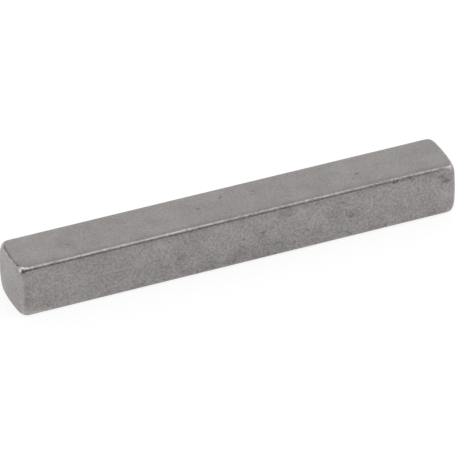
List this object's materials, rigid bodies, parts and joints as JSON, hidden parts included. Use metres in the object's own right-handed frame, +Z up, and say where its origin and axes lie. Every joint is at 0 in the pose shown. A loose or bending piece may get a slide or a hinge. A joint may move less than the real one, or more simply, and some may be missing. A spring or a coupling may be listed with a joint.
{
  "type": "parallel key",
  "caption": "Square-section steel parallel key with square, rounded-over ends, which locks a hub to a shaft by filling their two keyways.",
  "frame": {"origin": "the middle of the bottom face, on the surface that the key lies on", "axes": "+X along the key, +Y across its width, +Z up from the shaft's side to the hub's"},
  "size_m": [0.05, 0.006, 0.006],
  "materials": {
    "tumbled_steel": "tumbled, uncoated carbon steel: grey and half matt with a fine grain, brighter along the worn edges"
  },
  "bodies": {
    "root": {"parallel_key": "tumbled_steel"}
  },
  "joints": []
}
